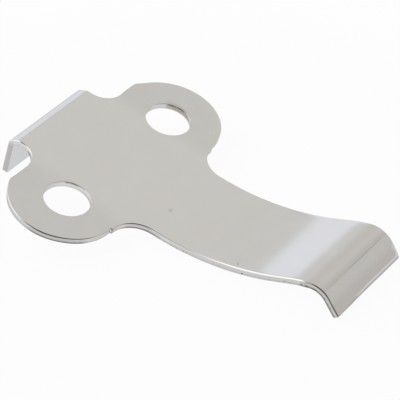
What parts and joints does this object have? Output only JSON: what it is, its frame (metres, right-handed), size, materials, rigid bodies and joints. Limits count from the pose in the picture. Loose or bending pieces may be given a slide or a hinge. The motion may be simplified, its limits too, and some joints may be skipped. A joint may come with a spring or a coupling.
{
  "type": "spring latch",
  "caption": "Flat spring latch bent from one steel strip: screw plate with two rounded ears, a folded lip at the back and a springy tongue that rises to a hooked catch nose.",
  "frame": {"origin": "midway between the two screw holes, on the seating face of the plate", "axes": "+X from the lip towards the catch nose, +Y along the line of the screw holes, +Z off the seating face, away from what the latch is screwed to"},
  "size_m": [0.0561, 0.0422, 0.0155],
  "materials": {
    "spring_steel": "bright rolled spring steel, satin, with rolled punch edges"
  },
  "bodies": {
    "root": {"latch_spring": "spring_steel"}
  },
  "joints": []
}
